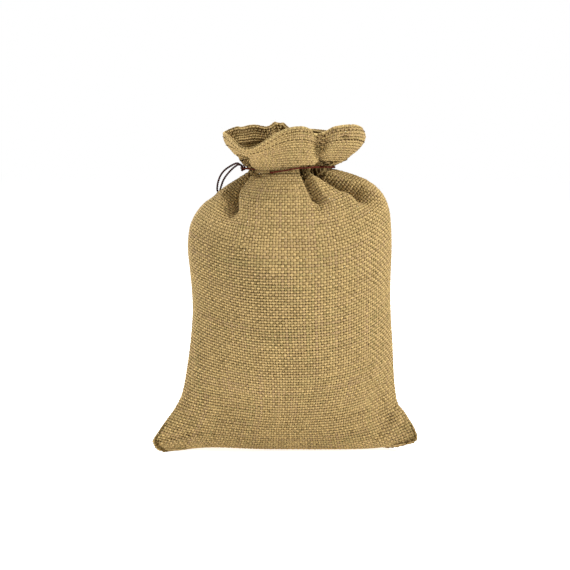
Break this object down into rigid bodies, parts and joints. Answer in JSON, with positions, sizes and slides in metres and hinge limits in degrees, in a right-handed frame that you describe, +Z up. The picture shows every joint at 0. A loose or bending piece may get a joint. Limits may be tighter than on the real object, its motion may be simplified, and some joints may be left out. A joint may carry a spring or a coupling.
{
  "type": "hessian sack",
  "caption": "Small hessian sack standing open-mouthed on its flat base, its neck drawn in by a thin knotted cord under a spreading ruffle.",
  "frame": {"origin": "on the surface the sack stands on, under the middle of its outline", "axes": "+Z up through the neck, -Y towards the front panel, +X to the right of someone who faces the front"},
  "size_m": [0.1906, 0.0995, 0.2415],
  "materials": {
    "hessian": "plain-woven natural jute, coarse and matt",
    "waxed_cord": "dark red-brown twisted two-ply cord, slightly waxed"
  },
  "bodies": {
    "root": {"sack": "hessian", "drawcord": "waxed_cord", "tie_knot": "waxed_cord", "tail_one": "waxed_cord", "tail_two": "waxed_cord", "end_knot": "waxed_cord"}
  },
  "joints": []
}
